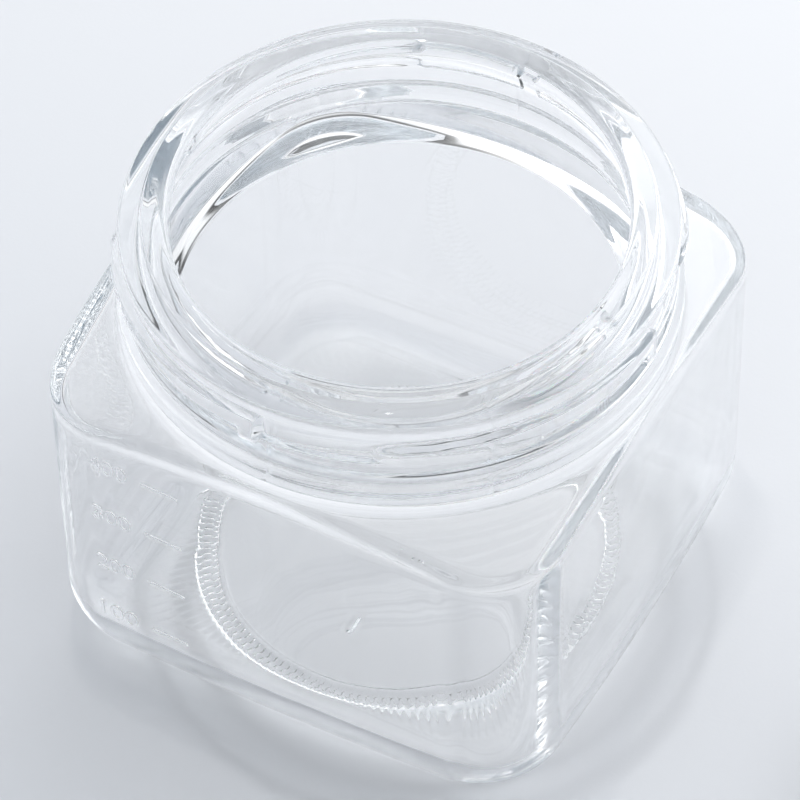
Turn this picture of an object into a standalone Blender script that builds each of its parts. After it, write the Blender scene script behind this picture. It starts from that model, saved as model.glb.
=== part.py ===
# Square glass canister with a wide round neck, its twist-on lid and the lid's sealing ring.
# The lid lies right way up on the table, beside the open jar.
# Metres, +Z up. The origin is on the table, midway between the outer sides of the jar and the lid.
# The face that carries the measuring marks looks along -Y.

from math import atan2, cos, pi, radians, sin, sqrt, tan

import bmesh
import bpy

# Clearances and overruns
seat_gap = 0.0003
join_depth = 0.0008

# Jar body, a rounded square whose faces stand flush with the collar
collar_to_face = 0.0001
face_bulge = 0.0009
corner_radius = 0.0160
heel_radius = 0.0108
heel_corner_share = 0.5

# Glass thickness
wall = 0.0032
floor_thickness = 0.0030

# Base: a flat ring that the jar stands on, round a pushed-up middle
foot_ring_inset = 0.0004
foot_ring_width = 0.0036
foot_ring_depth = 0.0005
push_up_height = 0.0022
push_up_inside_height = 0.0012
floor_ring_shares = (0.45, 0.85)

# Shoulder, from the square body up to the round collar
shoulder_rise = 0.0095
shoulder_inward_shares = (0.02, 0.07, 0.16, 0.30, 0.50, 0.75)
shoulder_rise_shares = (0.12, 0.22, 0.32, 0.44, 0.62, 0.84)

# Collar bead at the foot of the neck
collar_overhang = 0.0016
collar_undercut = 0.0006
collar_height = 0.0056
collar_edge = 0.0007

# Neck above the collar
neck_radius = 0.0459
neck_step_overhang = 0.0006
neck_step_height = 0.0047
neck_height = 0.0185

# Lip, with a wide flat land on top
lip_overhang = 0.0007
lip_height = 0.0033
lip_edge_radius = 0.0015
lip_under_slope = 0.0006
lip_width = 0.0070
mouth_edge_radius = 0.0007

# Inside of the neck
throat_wall = 0.0081
throat_height_share = 0.44
inner_shoulder_inward_shares = (0.80, 0.58, 0.38, 0.20, 0.08)
inner_shoulder_drop_shares = (0.12, 0.28, 0.46, 0.66, 0.84)
inner_shoulder_drop = 0.0070
inner_heel_radius = 0.0090

# Lugs on the neck that hold the lid: a rising run with a square stop at its end
lug_count = 4
lug_overhang = 0.0015
lug_start_angle = radians(-67)
lug_run_angle = radians(62)
lug_stop_angle = radians(4)
lug_lead_angle = radians(5)
lug_steps = 8
lug_height = 0.0024
lug_start_lift = 0.0006
lug_rise = 0.0022

# Measuring marks on the front face, one for each 100 ml
mark_count = 4
mark_first_height = 0.0162
mark_spacing = 0.0128
mark_length = 0.0072
mark_height = 0.0009
mark_relief = 0.0003
mark_side_inset = 0.0119
top_mark_to_shoulder = 0.0028

# Lid, clear plastic
lid_height = 0.0170
lid_neck_clearance = 0.0008
lid_skirt_wall = 0.0024
lid_plate = 0.0022
lid_edge_radius = 0.0022
lid_stack_recess = 0.0012
lid_stack_clearance = 0.0030
lid_stack_slope = 0.0010
lid_rib_wall = 0.0010
lid_rib_depth = 0.0030
lid_rib_mouth_gap = 0.0006
lid_lug_angle = radians(20)
lid_lug_height = 0.0022
lid_lug_run_gap = 0.0003
lid_lug_steps = 4
lid_side_gap = 0.0430

# Sealing ring in the lid
ring_thickness = 0.0016
ring_edge = 0.0004

# Mesh counts
flat_steps = 6
corner_steps = 6
heel_steps = 5
lip_steps = 3
turned_steps = 48
rounded_steps = 3
smooth_angle = radians(32)

# Radii, heights and places worked out from the sizes above
collar_radius = neck_radius + collar_overhang
neck_step_radius = neck_radius + neck_step_overhang
lip_radius = neck_radius + lip_overhang
lug_radius = neck_radius + lug_overhang
land_inner_radius = lip_radius - lip_width
throat_radius = neck_radius - throat_wall
body_half_width = collar_radius + collar_to_face
foot_ring_outer_radius = body_half_width - heel_radius - foot_ring_inset
foot_ring_inner_radius = foot_ring_outer_radius - foot_ring_width
mark_middle_x = mark_side_inset - (body_half_width - corner_radius)
shoulder_start_height = mark_first_height + (mark_count - 1) * mark_spacing + top_mark_to_shoulder
collar_base = shoulder_start_height + shoulder_rise
collar_top = collar_base + collar_height
neck_step_top = collar_top + neck_step_height
jar_height = collar_base + neck_height
lip_base = jar_height - lip_height
lug_base = neck_step_top
throat_height = collar_base - throat_height_share * (collar_base - shoulder_start_height)
lid_inner_radius = lug_radius + lid_neck_clearance
lid_radius = lid_inner_radius + lid_skirt_wall
jar_reach = body_half_width + face_bulge
set_length = 2 * jar_reach + lid_side_gap + 2 * lid_radius
jar_place_x = jar_reach - set_length / 2
lid_place_x = set_length / 2 - lid_radius
plate_underside = lid_height - lid_plate
ring_top = plate_underside - seat_gap
land_under_lid = ring_top - ring_thickness


def clear_scene():
    for obj in list(bpy.data.objects):
        bpy.data.objects.remove(obj, do_unlink=True)


def make_collection(name):
    collection = bpy.data.collections.new(name)
    bpy.context.scene.collection.children.link(collection)
    return collection


def make_material(name, color, roughness, transmission, ior):
    material = bpy.data.materials.new(name)
    material.use_nodes = True
    shader = material.node_tree.nodes["Principled BSDF"]
    shader.inputs["Base Color"].default_value = (*color, 1.0)
    shader.inputs["Roughness"].default_value = roughness
    shader.inputs["Metallic"].default_value = 0.0
    shader.inputs["Transmission Weight"].default_value = transmission
    shader.inputs["IOR"].default_value = ior
    material.diffuse_color = (*color, 1.0)
    return material


def make_object(name, mesh, collection, material=None):
    obj = bpy.data.objects.new(name, mesh)
    collection.objects.link(obj)
    if material:
        mesh.materials.append(material)
    return obj


def finish_smooth(mesh):
    mesh.shade_smooth()
    mesh.set_sharp_from_angle(angle=smooth_angle)


def spoke_angles():
    """Angles round the jar at which every ring has a point, closer together at the corners."""
    straight = body_half_width - corner_radius
    corner_start = atan2(straight, body_half_width)
    angles = []
    for face in range(4):
        middle = face * pi / 2
        for k in range(flat_steps):
            angles.append(middle - corner_start + 2 * corner_start * k / flat_steps)
        for k in range(corner_steps):
            angles.append(middle + corner_start + (pi / 2 - 2 * corner_start) * k / corner_steps)
    return angles


def square_radius(angle, half_width, corner, bulge):
    """Distance from the axis to a rounded square with slightly bowed sides."""
    turn = (angle + pi / 4) % (pi / 2) - pi / 4
    straight = half_width - corner
    across = half_width * tan(turn)
    if abs(across) <= straight:
        bow = bulge * (1 - (across / straight) ** 2)
        return (half_width + bow) / cos(turn)
    turn = abs(turn)
    along = straight * (cos(turn) + sin(turn))
    return along + sqrt(along ** 2 - 2 * straight ** 2 + corner ** 2)


def square_ring(spokes, half_width, corner, bulge, z):
    return [(square_radius(a, half_width, corner, bulge), z) for a in spokes]


def round_ring(spokes, radius, z):
    return [(radius, z) for _ in spokes]


def blend_rings(outer, inner, inward_share, z):
    return [(r0 + (r1 - r0) * inward_share, z) for (r0, _), (r1, _) in zip(outer, inner)]


def loft(name, spokes, rings, start_z, end_z):
    """Joins rings of points with faces, and closes both ends on the axis."""
    mesh = bpy.data.meshes.new(name)
    bm = bmesh.new()
    rows = []
    for ring in rings:
        rows.append([bm.verts.new((r * cos(a), r * sin(a), z)) for a, (r, z) in zip(spokes, ring)])
    count = len(spokes)
    start = bm.verts.new((0, 0, start_z))
    end = bm.verts.new((0, 0, end_z))
    for k in range(count):
        after = (k + 1) % count
        bm.faces.new((start, rows[0][after], rows[0][k]))
        bm.faces.new((end, rows[-1][k], rows[-1][after]))
    for low, high in zip(rows, rows[1:]):
        for k in range(count):
            after = (k + 1) % count
            bm.faces.new((low[k], low[after], high[after], high[k]))
    bmesh.ops.recalc_face_normals(bm, faces=bm.faces[:])
    bm.to_mesh(mesh)
    bm.free()
    finish_smooth(mesh)
    return mesh


def jar_outer_rings(spokes):
    rings = []
    for share in floor_ring_shares:
        lift = foot_ring_depth + (push_up_height - foot_ring_depth) * (1 - share ** 2)
        rings.append(round_ring(spokes, foot_ring_inner_radius * share, lift))
    rings.append(round_ring(spokes, foot_ring_inner_radius - foot_ring_depth, foot_ring_depth))
    rings.append(round_ring(spokes, foot_ring_inner_radius, 0))
    rings.append(round_ring(spokes, foot_ring_outer_radius, 0))
    for k in range(heel_steps + 1):
        turn = pi / 2 * k / heel_steps
        inset = heel_radius * (1 - sin(turn))
        corner = corner_radius - heel_corner_share * inset
        z = foot_ring_depth + heel_radius * (1 - cos(turn))
        rings.append(square_ring(spokes, body_half_width - inset, corner, face_bulge * sin(turn), z))
    top = square_ring(spokes, body_half_width, corner_radius, face_bulge, shoulder_start_height)
    rings.append(top)
    collar_root = round_ring(spokes, collar_radius - collar_undercut, collar_base)
    for inward_share, rise_share in zip(shoulder_inward_shares, shoulder_rise_shares):
        z = shoulder_start_height + shoulder_rise * rise_share
        rings.append(blend_rings(top, collar_root, inward_share, z))
    rings.append(collar_root)
    rings.append(round_ring(spokes, collar_radius, collar_base + collar_edge))
    rings.append(round_ring(spokes, collar_radius, collar_top - 2 * collar_edge))
    rings.append(round_ring(spokes, neck_step_radius, collar_top))
    rings.append(round_ring(spokes, neck_step_radius, neck_step_top))
    rings.append(round_ring(spokes, neck_radius, neck_step_top + lip_under_slope))
    rings.append(round_ring(spokes, neck_radius, lip_base - lip_under_slope))
    rings.append(round_ring(spokes, lip_radius, lip_base))
    for k in range(lip_steps + 1):
        turn = pi / 2 * k / lip_steps
        radius = lip_radius - lip_edge_radius * (1 - cos(turn))
        rings.append(round_ring(spokes, radius, jar_height - lip_edge_radius * (1 - sin(turn))))
    return rings


def jar_inner_rings(spokes):
    rings = [round_ring(spokes, land_inner_radius, jar_height)]
    rings.append(round_ring(spokes, land_inner_radius - mouth_edge_radius, jar_height - mouth_edge_radius))
    throat = round_ring(spokes, throat_radius, throat_height)
    rings.append(throat)
    half_width = body_half_width - wall
    corner = corner_radius - wall
    widest = square_ring(spokes, half_width, corner, face_bulge, throat_height - inner_shoulder_drop)
    for inward_share, drop_share in zip(inner_shoulder_inward_shares, inner_shoulder_drop_shares):
        z = throat_height - inner_shoulder_drop * drop_share
        rings.append(blend_rings(widest, throat, inward_share, z))
    rings.append(widest)
    for k in range(heel_steps + 1):
        turn = pi / 2 * (1 - k / heel_steps)
        inset = inner_heel_radius * (1 - sin(turn))
        z = floor_thickness + inner_heel_radius * (1 - cos(turn))
        ring = square_ring(spokes, half_width - inset, corner - heel_corner_share * inset, face_bulge * sin(turn), z)
        rings.append(ring)
    for share in reversed(floor_ring_shares):
        z = floor_thickness + push_up_inside_height * (1 - share ** 2)
        rings.append(round_ring(spokes, foot_ring_inner_radius * share, z))
    return rings


def bar_along_circle(bm, sections):
    """Adds a closed bar from sections of (angle, inner radius, outer radius, low z, high z)."""
    rows = []
    for angle, r_in, r_out, low, high in sections:
        corners = ((r_in, low), (r_out, low), (r_out, high), (r_in, high))
        rows.append([bm.verts.new((r * cos(angle), r * sin(angle), z)) for r, z in corners])
    faces = [bm.faces.new(rows[0]), bm.faces.new(rows[-1])]
    for a, b in zip(rows, rows[1:]):
        for k in range(4):
            after = (k + 1) % 4
            faces.append(bm.faces.new((a[k], a[after], b[after], b[k])))
    bmesh.ops.recalc_face_normals(bm, faces=faces)


def mesh_from(name, bm):
    mesh = bpy.data.meshes.new(name)
    bm.to_mesh(mesh)
    bm.free()
    return mesh


def jar_lugs():
    """Each lug starts thin, rises as it runs round, and ends in a square stop under the lip."""
    bm = bmesh.new()
    inner = neck_radius - join_depth
    for n in range(lug_count):
        start = lug_start_angle + 2 * pi * n / lug_count
        run_base = lug_base + lug_start_lift
        sections = [(start, inner, neck_radius + join_depth / 2, run_base, run_base + lug_height / 2)]
        for k in range(lug_steps + 1):
            along = k / lug_steps
            angle = start + lug_lead_angle + (lug_run_angle - lug_lead_angle) * along
            low = run_base + lug_rise * along
            sections.append((angle, inner, lug_radius, low, low + lug_height))
        stop_low = lug_base - lug_start_lift
        stop_high = lip_base + lip_height / 3
        stop_start = start + lug_run_angle + lug_stop_angle / 8
        sections.append((stop_start, inner, lug_radius, stop_low, stop_high))
        sections.append((start + lug_run_angle + lug_stop_angle, inner, lug_radius, stop_low, stop_high))
        bar_along_circle(bm, sections)
    return mesh_from("jar_lugs", bm)


def jar_marks():
    """Short raised lines that stand out of the bowed front face."""
    bm = bmesh.new()
    straight = body_half_width - corner_radius
    far_edge = mark_middle_x - mark_length / 2
    bow_far = face_bulge * (1 - (far_edge / straight) ** 2)
    bow_near = face_bulge * (1 - ((mark_middle_x + mark_length / 2) / straight) ** 2)
    front = body_half_width + (bow_far + bow_near) / 2 + mark_relief
    depth = mark_relief + join_depth
    for n in range(mark_count):
        made = bmesh.ops.create_cube(bm, size=1)
        bmesh.ops.scale(bm, verts=made["verts"], vec=(mark_length, depth, mark_height))
        place = (mark_middle_x, depth / 2 - front, mark_first_height + mark_spacing * n)
        bmesh.ops.translate(bm, verts=made["verts"], vec=place)
    return mesh_from("jar_marks", bm)


def turned(name, profile, collection, material):
    """A profile of (radius, height) points turned about the axis."""
    mesh = bpy.data.meshes.new(name)
    points = [(r, 0, z) for r, z in profile]
    edges = [(k, k + 1) for k in range(len(points) - 1)]
    if profile[0][0] > 0:
        edges.append((len(points) - 1, 0))
    mesh.from_pydata(points, edges, [])
    obj = make_object(name, mesh, collection, material)
    screw = obj.modifiers.new("turn", "SCREW")
    screw.axis = "Z"
    screw.steps = turned_steps
    screw.render_steps = turned_steps
    screw.use_merge_vertices = True
    screw.merge_threshold = 0.00001
    screw.use_smooth_shade = True
    return obj


def arc(center_r, center_z, radius, first, last):
    """Points of a round corner, from one angle to another."""
    points = []
    for k in range(rounded_steps + 1):
        angle = first + (last - first) * k / rounded_steps
        points.append((center_r + radius * cos(angle), center_z + radius * sin(angle)))
    return points


def lid_profile():
    """Top recess for stacking, rounded edge, skirt, and the rib that keeps the ring in place."""
    recess_radius = foot_ring_outer_radius + lid_stack_clearance
    rib_outer = land_inner_radius - mouth_edge_radius - lid_rib_mouth_gap
    rib_inner = rib_outer - lid_rib_wall
    rib_low = plate_underside - lid_rib_depth
    profile = [(0, lid_height - lid_stack_recess), (recess_radius, lid_height - lid_stack_recess)]
    profile.append((recess_radius + lid_stack_slope, lid_height))
    profile += arc(lid_radius - lid_edge_radius, lid_height - lid_edge_radius, lid_edge_radius, pi / 2, 0)
    profile += [(lid_radius, 0), (lid_inner_radius, 0), (lid_inner_radius, plate_underside)]
    profile += [(rib_outer, plate_underside), (rib_outer, rib_low), (rib_inner, rib_low)]
    profile += [(rib_inner, plate_underside), (0, plate_underside)]
    return profile


def lid_lugs():
    """Short lugs inside the skirt that pass under the ones on the neck."""
    bm = bmesh.new()
    high = land_under_lid - (jar_height - lug_base) + lug_start_lift - lid_lug_run_gap
    for n in range(lug_count):
        middle = 2 * pi * n / lug_count + pi / lug_count
        sections = []
        for k in range(lid_lug_steps + 1):
            angle = middle + lid_lug_angle * (k / lid_lug_steps - 1 / 2)
            outer = lid_inner_radius + join_depth
            sections.append((angle, lip_radius + seat_gap, outer, high - lid_lug_height, high))
        bar_along_circle(bm, sections)
    return mesh_from("lid_lugs", bm)


def sealing_ring_profile():
    rib_outer = land_inner_radius - mouth_edge_radius - lid_rib_mouth_gap
    inner = rib_outer + seat_gap
    outer = lid_inner_radius - seat_gap
    low = ring_top - ring_thickness
    return [
        (inner + ring_edge, ring_top),
        (outer - ring_edge, ring_top),
        (outer, ring_top - ring_edge),
        (outer, low + ring_edge),
        (outer - ring_edge, low),
        (inner + ring_edge, low),
        (inner, low + ring_edge),
        (inner, ring_top - ring_edge),
    ]


def join_to(target, tool):
    tool.hide_render = True
    tool.display_type = "WIRE"
    union = target.modifiers.new(tool.name, "BOOLEAN")
    union.operation = "UNION"
    union.solver = "EXACT"
    union.object = tool


def build():
    clear_scene()
    parts = make_collection("glass_canister")
    tools = make_collection("joined_shapes")

    # Jar
    glass = make_material("clear_glass", (0.93, 0.97, 0.98), 0.02, 1.0, 1.52)
    spokes = spoke_angles()
    rings = jar_outer_rings(spokes) + jar_inner_rings(spokes)
    floor_top = floor_thickness + push_up_inside_height
    jar = make_object("glass_jar", loft("glass_jar", spokes, rings, push_up_height, floor_top), parts, glass)
    jar.location = (jar_place_x, 0, 0)
    for tool_name, tool_mesh in (("jar_lugs", jar_lugs()), ("jar_marks", jar_marks())):
        tool = make_object(tool_name, tool_mesh, tools)
        tool.location = jar.location
        join_to(jar, tool)

    # Lid, with its origin on the line that it lifts along
    plastic = make_material("clear_plastic", (0.95, 0.97, 0.98), 0.06, 1.0, 1.49)
    lid = turned("lid", lid_profile(), parts, plastic)
    lid.location = (lid_place_x, 0, 0)
    lid_lug_shape = make_object("lid_lugs", lid_lugs(), tools)
    lid_lug_shape.location = lid.location
    join_to(lid, lid_lug_shape)

    # Sealing ring, carried by the lid
    rubber = make_material("milky_silicone", (0.90, 0.92, 0.93), 0.45, 0.0, 1.42)
    ring = turned("sealing_ring", sealing_ring_profile(), parts, rubber)
    ring.parent = lid

    print("Jar", round(2 * jar_reach, 4), "wide and", round(jar_height, 4), "tall, at x", round(jar_place_x, 4))
    print("Lid", round(2 * lid_radius, 4), "across, at x", round(lid_place_x, 4))


build()
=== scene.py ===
# %% [markdown]
# # A clear glass canister
# This lesson dresses a imported CAD part as the real thing: a square glass jar with a round,
# lugged neck, and its clear twist-on lid, which lies beside it. Everything is in metres.
# The first cell loads the part as a fixed frame and keeps its size.

from math import cos, hypot, pi, radians, sin

import bpy
import numpy as np
from mathutils import Matrix, Vector
from mathutils.kdtree import KDTree


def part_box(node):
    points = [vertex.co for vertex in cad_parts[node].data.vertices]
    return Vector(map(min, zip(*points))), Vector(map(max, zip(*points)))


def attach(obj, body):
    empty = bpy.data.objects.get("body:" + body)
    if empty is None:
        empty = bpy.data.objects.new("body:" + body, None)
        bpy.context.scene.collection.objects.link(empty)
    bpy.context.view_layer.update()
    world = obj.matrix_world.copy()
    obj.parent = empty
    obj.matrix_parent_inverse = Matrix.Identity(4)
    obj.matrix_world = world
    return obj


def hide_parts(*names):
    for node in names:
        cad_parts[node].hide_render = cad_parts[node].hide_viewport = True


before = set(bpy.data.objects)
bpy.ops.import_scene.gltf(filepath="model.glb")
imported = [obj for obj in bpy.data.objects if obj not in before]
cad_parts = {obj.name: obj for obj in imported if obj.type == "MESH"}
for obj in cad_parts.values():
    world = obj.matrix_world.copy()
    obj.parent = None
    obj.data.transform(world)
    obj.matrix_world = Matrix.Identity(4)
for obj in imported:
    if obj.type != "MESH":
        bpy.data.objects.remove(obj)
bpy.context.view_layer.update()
jar_low, jar_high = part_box("glass_jar")
lid_low, lid_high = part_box("lid")
jar_x = (jar_low.x + jar_high.x) / 2
lid_x = (lid_low.x + lid_high.x) / 2

# %% [markdown]
# ## Camera
# The photograph looks down at the jar from far away with a long lens, so the round neck
# shows as a wide ellipse and the lines hardly converge. A camera of that kind needs its
# distance and its lens found together. Here both were fitted to the rim, the collar and
# the outline of the body, and the small roll is the photographer's.

# %% Camera at the photograph's view
camera_place = Vector((jar_x + 0.2737, -0.4924, 0.6874))
heading, pitch_down, roll = radians(29.12), 0.8554, -0.0217
forward = Vector((-sin(heading) * cos(pitch_down), cos(heading) * cos(pitch_down), -sin(pitch_down)))
level_right = Vector((cos(heading), sin(heading), 0))
level_up = level_right.cross(forward)
cam_right = level_right * cos(roll) + level_up * sin(roll)
cam_up = level_up * cos(roll) - level_right * sin(roll)

camera_data = bpy.data.cameras.new("photo_camera")
camera_data.sensor_width = 36
camera_data.lens = 225
camera_data.clip_start, camera_data.clip_end = 0.05, 30
camera = bpy.data.objects.new("photo_camera", camera_data)
bpy.context.scene.collection.objects.link(camera)
camera.matrix_world = Matrix((
    (cam_right.x, cam_up.x, -forward.x, camera_place.x),
    (cam_right.y, cam_up.y, -forward.y, camera_place.y),
    (cam_right.z, cam_up.z, -forward.z, camera_place.z),
    (0, 0, 0, 1),
))
bpy.context.scene.camera = camera
bpy.context.scene.view_settings.view_transform = "Standard"
print("camera", tuple(round(v, 4) for v in camera_place), "lens", camera_data.lens)

# %% [markdown]
# ## Light paths for clear glass
# Light that crosses a hollow jar meets the glass eight times or more. The usual limit on
# bounces would end those paths early and leave black patches, so it is raised. Very bright
# single bounces are held back, as they would stay in the picture as stray white dots.

# %% Room for long light paths
most_bounces, most_clear_layers, brightest_bounce = 96, 48, 20.0
cycles = bpy.context.scene.cycles
cycles.max_bounces = cycles.transmission_bounces = cycles.glossy_bounces = most_bounces
cycles.transparent_max_bounces = most_clear_layers
cycles.sample_clamp_indirect = brightest_bounce
print("bounces", cycles.max_bounces)


# %% [markdown]
# ## Helpers for modelling
# An operator acts on everything that is selected, so a clean start comes before each one.
# These three keep the selection and the mode in order.

# %% Helpers: selection and mode
def start_clean():
    if bpy.context.object and bpy.context.object.mode != "OBJECT":
        bpy.ops.object.mode_set(mode="OBJECT")
    bpy.ops.object.select_all(action="DESELECT")


def make_active(obj):
    start_clean()
    obj.select_set(True)
    bpy.context.view_layer.objects.active = obj


def edit_all(obj):
    make_active(obj)
    bpy.ops.object.mode_set(mode="EDIT")
    bpy.ops.mesh.select_mode(type="VERT")
    bpy.ops.mesh.select_all(action="SELECT")


# %% [markdown]
# Glass is turned and pressed, so each piece here starts as a line drawn by extruding one
# corner, which is then turned about the upright axis. A lathe of this kind keeps every
# ring in reach, which a cylinder cut by hand would not. Merging the doubles closes the
# seam and both poles, and the normals are set after that.

# %% Helpers: drawing a line and turning it
seed_size, merge_far, merge_seam = 0.001, 0.000004, 0.000002


def draw_line(name, points):
    """A line of (radius, height) points, drawn as by hand: one corner, then extruded on."""
    start_clean()
    bpy.ops.mesh.primitive_plane_add(size=seed_size, location=(0, 0, 0))
    obj = bpy.context.object
    obj.name = obj.data.name = name
    edit_all(obj)
    bpy.ops.mesh.merge(type="CENTER")
    r0, z0 = points[0]
    bpy.ops.transform.translate(value=(r0, 0, z0))
    for (ra, za), (rb, zb) in zip(points, points[1:]):
        bpy.ops.mesh.extrude_region_move(TRANSFORM_OT_translate={"value": (rb - ra, 0, zb - za)})
    return obj


def spin_round(obj, steps):
    """Turns the drawn line about the upright axis and closes the seam and both poles."""
    bpy.ops.object.mode_set(mode="OBJECT")
    turn = obj.modifiers.new("turn", "SCREW")
    turn.axis = "Z"
    turn.steps = turn.render_steps = steps
    turn.use_merge_vertices = True
    turn.merge_threshold = merge_seam
    bpy.ops.object.modifier_apply(modifier=turn.name)
    edit_all(obj)
    bpy.ops.mesh.remove_doubles(threshold=merge_far)
    bpy.ops.mesh.normals_make_consistent(inside=False)
    bpy.ops.object.mode_set(mode="OBJECT")
    return obj


def quarter_turn(parts):
    """The angles of a quarter turn in even steps, without its start."""
    return [pi / 2 * k / parts for k in range(1, parts + 1)]


# %% [markdown]
# Lugs, beads and waves repeat round the piece, so they are pressed in by formula: all the
# points are read, moved and written back. The last three helpers are the soft edges that
# a mould leaves, and the angle between two directions.

# %% Helpers: pressing a shape into a mesh
def read_points(obj):
    places = np.zeros(len(obj.data.vertices) * 3)
    obj.data.vertices.foreach_get("co", places)
    return places.reshape(-1, 3)


def write_points(obj, places):
    obj.data.vertices.foreach_set("co", np.ascontiguousarray(places, dtype=np.float64).ravel())
    obj.data.update()


def ease(value, low, high):
    """Goes smoothly from 0 at low to 1 at high."""
    share = np.clip((value - low) / (high - low), 0, 1)
    return share * share * (3 - 2 * share)


def bump_between(value, low, high, soft):
    """1 between low and high, falling smoothly to 0 over the soft distance outside."""
    return ease(value, low - soft, low) * (1 - ease(value, high, high + soft))


def angle_apart(a, b):
    return (a - b + pi) % (2 * pi) - pi


# %% [markdown]
# ## The jar's section
# The jar is one piece of pressed and blown glass: base, body, neck and lip. Its section
# is made once, from the middle of the base, up the outside, over the lip and back down
# the inside to the floor. A station is one ring of it, and says how far out and how high
# the glass is in any direction. In the body the rings are square with round corners and
# slightly bowed faces; in the neck they are round.

# %% Sizes of the jar and its two kinds of ring
half_width, face_bulge, corner_radius, glass_wall = 0.0476, 0.0009, 0.0160, 0.0032
stations = []


def rounded_square(angle, half, corner, bulge):
    """Distance from the axis to a rounded square, for each angle."""
    turn = (angle + pi / 4) % (pi / 2) - pi / 4
    straight = half - corner
    across = half * np.tan(turn)
    bow = bulge * (1 - np.clip(across / straight, -1, 1) ** 2)
    face = (half + bow) / np.cos(turn)
    along = straight * (np.cos(turn) + np.sin(np.abs(turn)))
    inside_root = np.maximum(along ** 2 - 2 * straight ** 2 + corner ** 2, 0)
    return np.where(np.abs(across) <= straight, face, along + np.sqrt(inside_root))


def round_ring(r, z):
    stations.append(lambda angle: (np.full_like(angle, r), np.full_like(angle, z)))


def square_ring(half, corner, bulge, z):
    stations.append(lambda angle: (rounded_square(angle, half, corner, bulge), np.full_like(angle, z)))


print("jar is", 2 * (half_width + face_bulge), "across its faces")

# %% [markdown]
# The base is pushed up in the middle and stands on a round foot ring. Rings lie close
# together where the foot ring gets its beads, and where the glass was cut from the melt,
# which leaves a short ridge.

# %% Stations: base, foot ring and heel
foot_inner, foot_outer, foot_depth, push_up = 0.0328, 0.0370, 0.0009, 0.0022
foot_middle, foot_half = (foot_inner + foot_outer) / 2, (foot_outer - foot_inner) / 2
heel_run, heel_rise = 0.0098, 0.0108
heel_low = foot_depth / 2
heel_top = heel_low + heel_rise
cut_rings_from, cut_rings_apart = 0.0168, 0.0006
base_radii = [0.0, 0.0014, 0.004, 0.008, 0.012, 0.0155]
base_radii += [cut_rings_from + cut_rings_apart * k for k in range(12)]
base_radii += [0.026, 0.0285, 0.0302, 0.0314, 0.0322]
for r in base_radii:
    round_ring(r, foot_depth + (push_up - foot_depth) * (1 - (r / foot_inner) ** 4))
for k in range(13):
    across = -1 + 2 * k / 12
    round_ring(foot_middle + across * foot_half, foot_depth * across ** 4)
square_ring(half_width - heel_run, corner_radius - heel_run / 2, 0.0, heel_low)
for turn in quarter_turn(16):
    inset = heel_run * (1 - sin(turn))
    square_ring(half_width - inset, corner_radius - inset / 2, face_bulge * sin(turn),
                heel_low + heel_rise * (1 - cos(turn)))
print("base stations", len(stations))

# %% [markdown]
# The shoulder is a low cone round the axis that meets the four flat faces. So the edge
# between them is an arc on each face, high in the middle and low at the corners, where
# two arcs meet in a point. A table of heights can't give that, because each ring of the
# shoulder rises and falls as it goes round. Here the cone's height follows from the
# distance to the axis, and a small fillet rounds the edge.

# %% Stations: wall and shoulder
collar_z, collar_root_r = 0.0669, 0.0469
cove_drop, cove_run, cone_slope = 0.0016, 0.0005, 0.36
edge_fillet = 0.0013


def cone_height(r):
    """Height of the shoulder outside: a tight cove under the collar, then an even slope."""
    out = r - collar_root_r
    return collar_z - cove_drop * (1 - np.exp(-out / cove_run)) - cone_slope * out


def fillet_curve(t, start, middle, end):
    return (1 - t) ** 2 * start + 2 * t * (1 - t) * middle + t * t * end


def wall_ring(share):
    def place(angle):
        r = rounded_square(angle, half_width, corner_radius, face_bulge)
        return r, heel_top + (cone_height(r) - edge_fillet - heel_top) * share
    stations.append(place)


def edge_ring(t):
    def place(angle):
        r = rounded_square(angle, half_width, corner_radius, face_bulge)
        reach = np.minimum(edge_fillet, (r - collar_root_r) / 2)
        z = cone_height(r)
        return (fillet_curve(t, r, r, r - reach),
                fillet_curve(t, z - edge_fillet, z, cone_height(r - reach)))
    stations.append(place)


def cone_ring(share):
    def place(angle):
        r = rounded_square(angle, half_width, corner_radius, face_bulge)
        r = r - np.minimum(edge_fillet, (r - collar_root_r) / 2)
        r = r + (collar_root_r - r) * share
        return r, cone_height(r)
    stations.append(place)


for share in (0.15, 0.30, 0.45, 0.60, 0.75, 0.88, 0.96):
    wall_ring(share)
for k in range(7):
    edge_ring(k / 6)
for share in (0.10, 0.22, 0.36, 0.50, 0.64, 0.76, 0.85, 0.91, 0.95, 0.98):
    cone_ring(share)
print("stations to the collar", len(stations))

# %% [markdown]
# Over the shoulder come a round collar bead, a ledge for the lid's skirt, the neck with
# its lugs, and the lip. Rings lie close together on the neck, so that the lugs can have
# clean edges. The lip's outer edge is a small roll, and a low slope leads from it up to
# the flat land, as glass that was melted smooth and then ground.

# %% Stations: collar, neck and lip
step_top_z, lip_low_z, jar_top_z = 0.0772, 0.0821, 0.0871
collar_r, step_r, neck_r, lip_r = 0.0475, 0.0465, 0.0459, 0.0466
collar_line = [
    (collar_root_r, collar_z), (0.04705, 0.0671), (0.0473, 0.0674), (collar_r, 0.0678),
    (0.04758, 0.0690), (0.04756, 0.0702), (collar_r, 0.0710), (0.0472, 0.0716),
    (0.0468, 0.0721), (0.04657, 0.0725), (step_r, 0.0730), (step_r, 0.0742), (step_r, 0.0752)]
lip_line = [
    (0.0462, 0.0823), (0.0465, 0.0826), (lip_r, 0.0831), (lip_r, 0.0838), (0.04665, 0.0842),
    (0.04662, 0.0845), (0.04650, 0.0848), (0.0463, 0.08503), (0.0460, 0.08522), (0.0456, 0.08543),
    (0.0447, 0.08588), (0.0437, 0.08638), (0.0430, 0.08672), (0.0426, 0.08691)]
neck_low_z, neck_rings_apart, step_round_low, step_round = 0.0758, 0.00026, 0.0003, 0.0008
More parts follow.
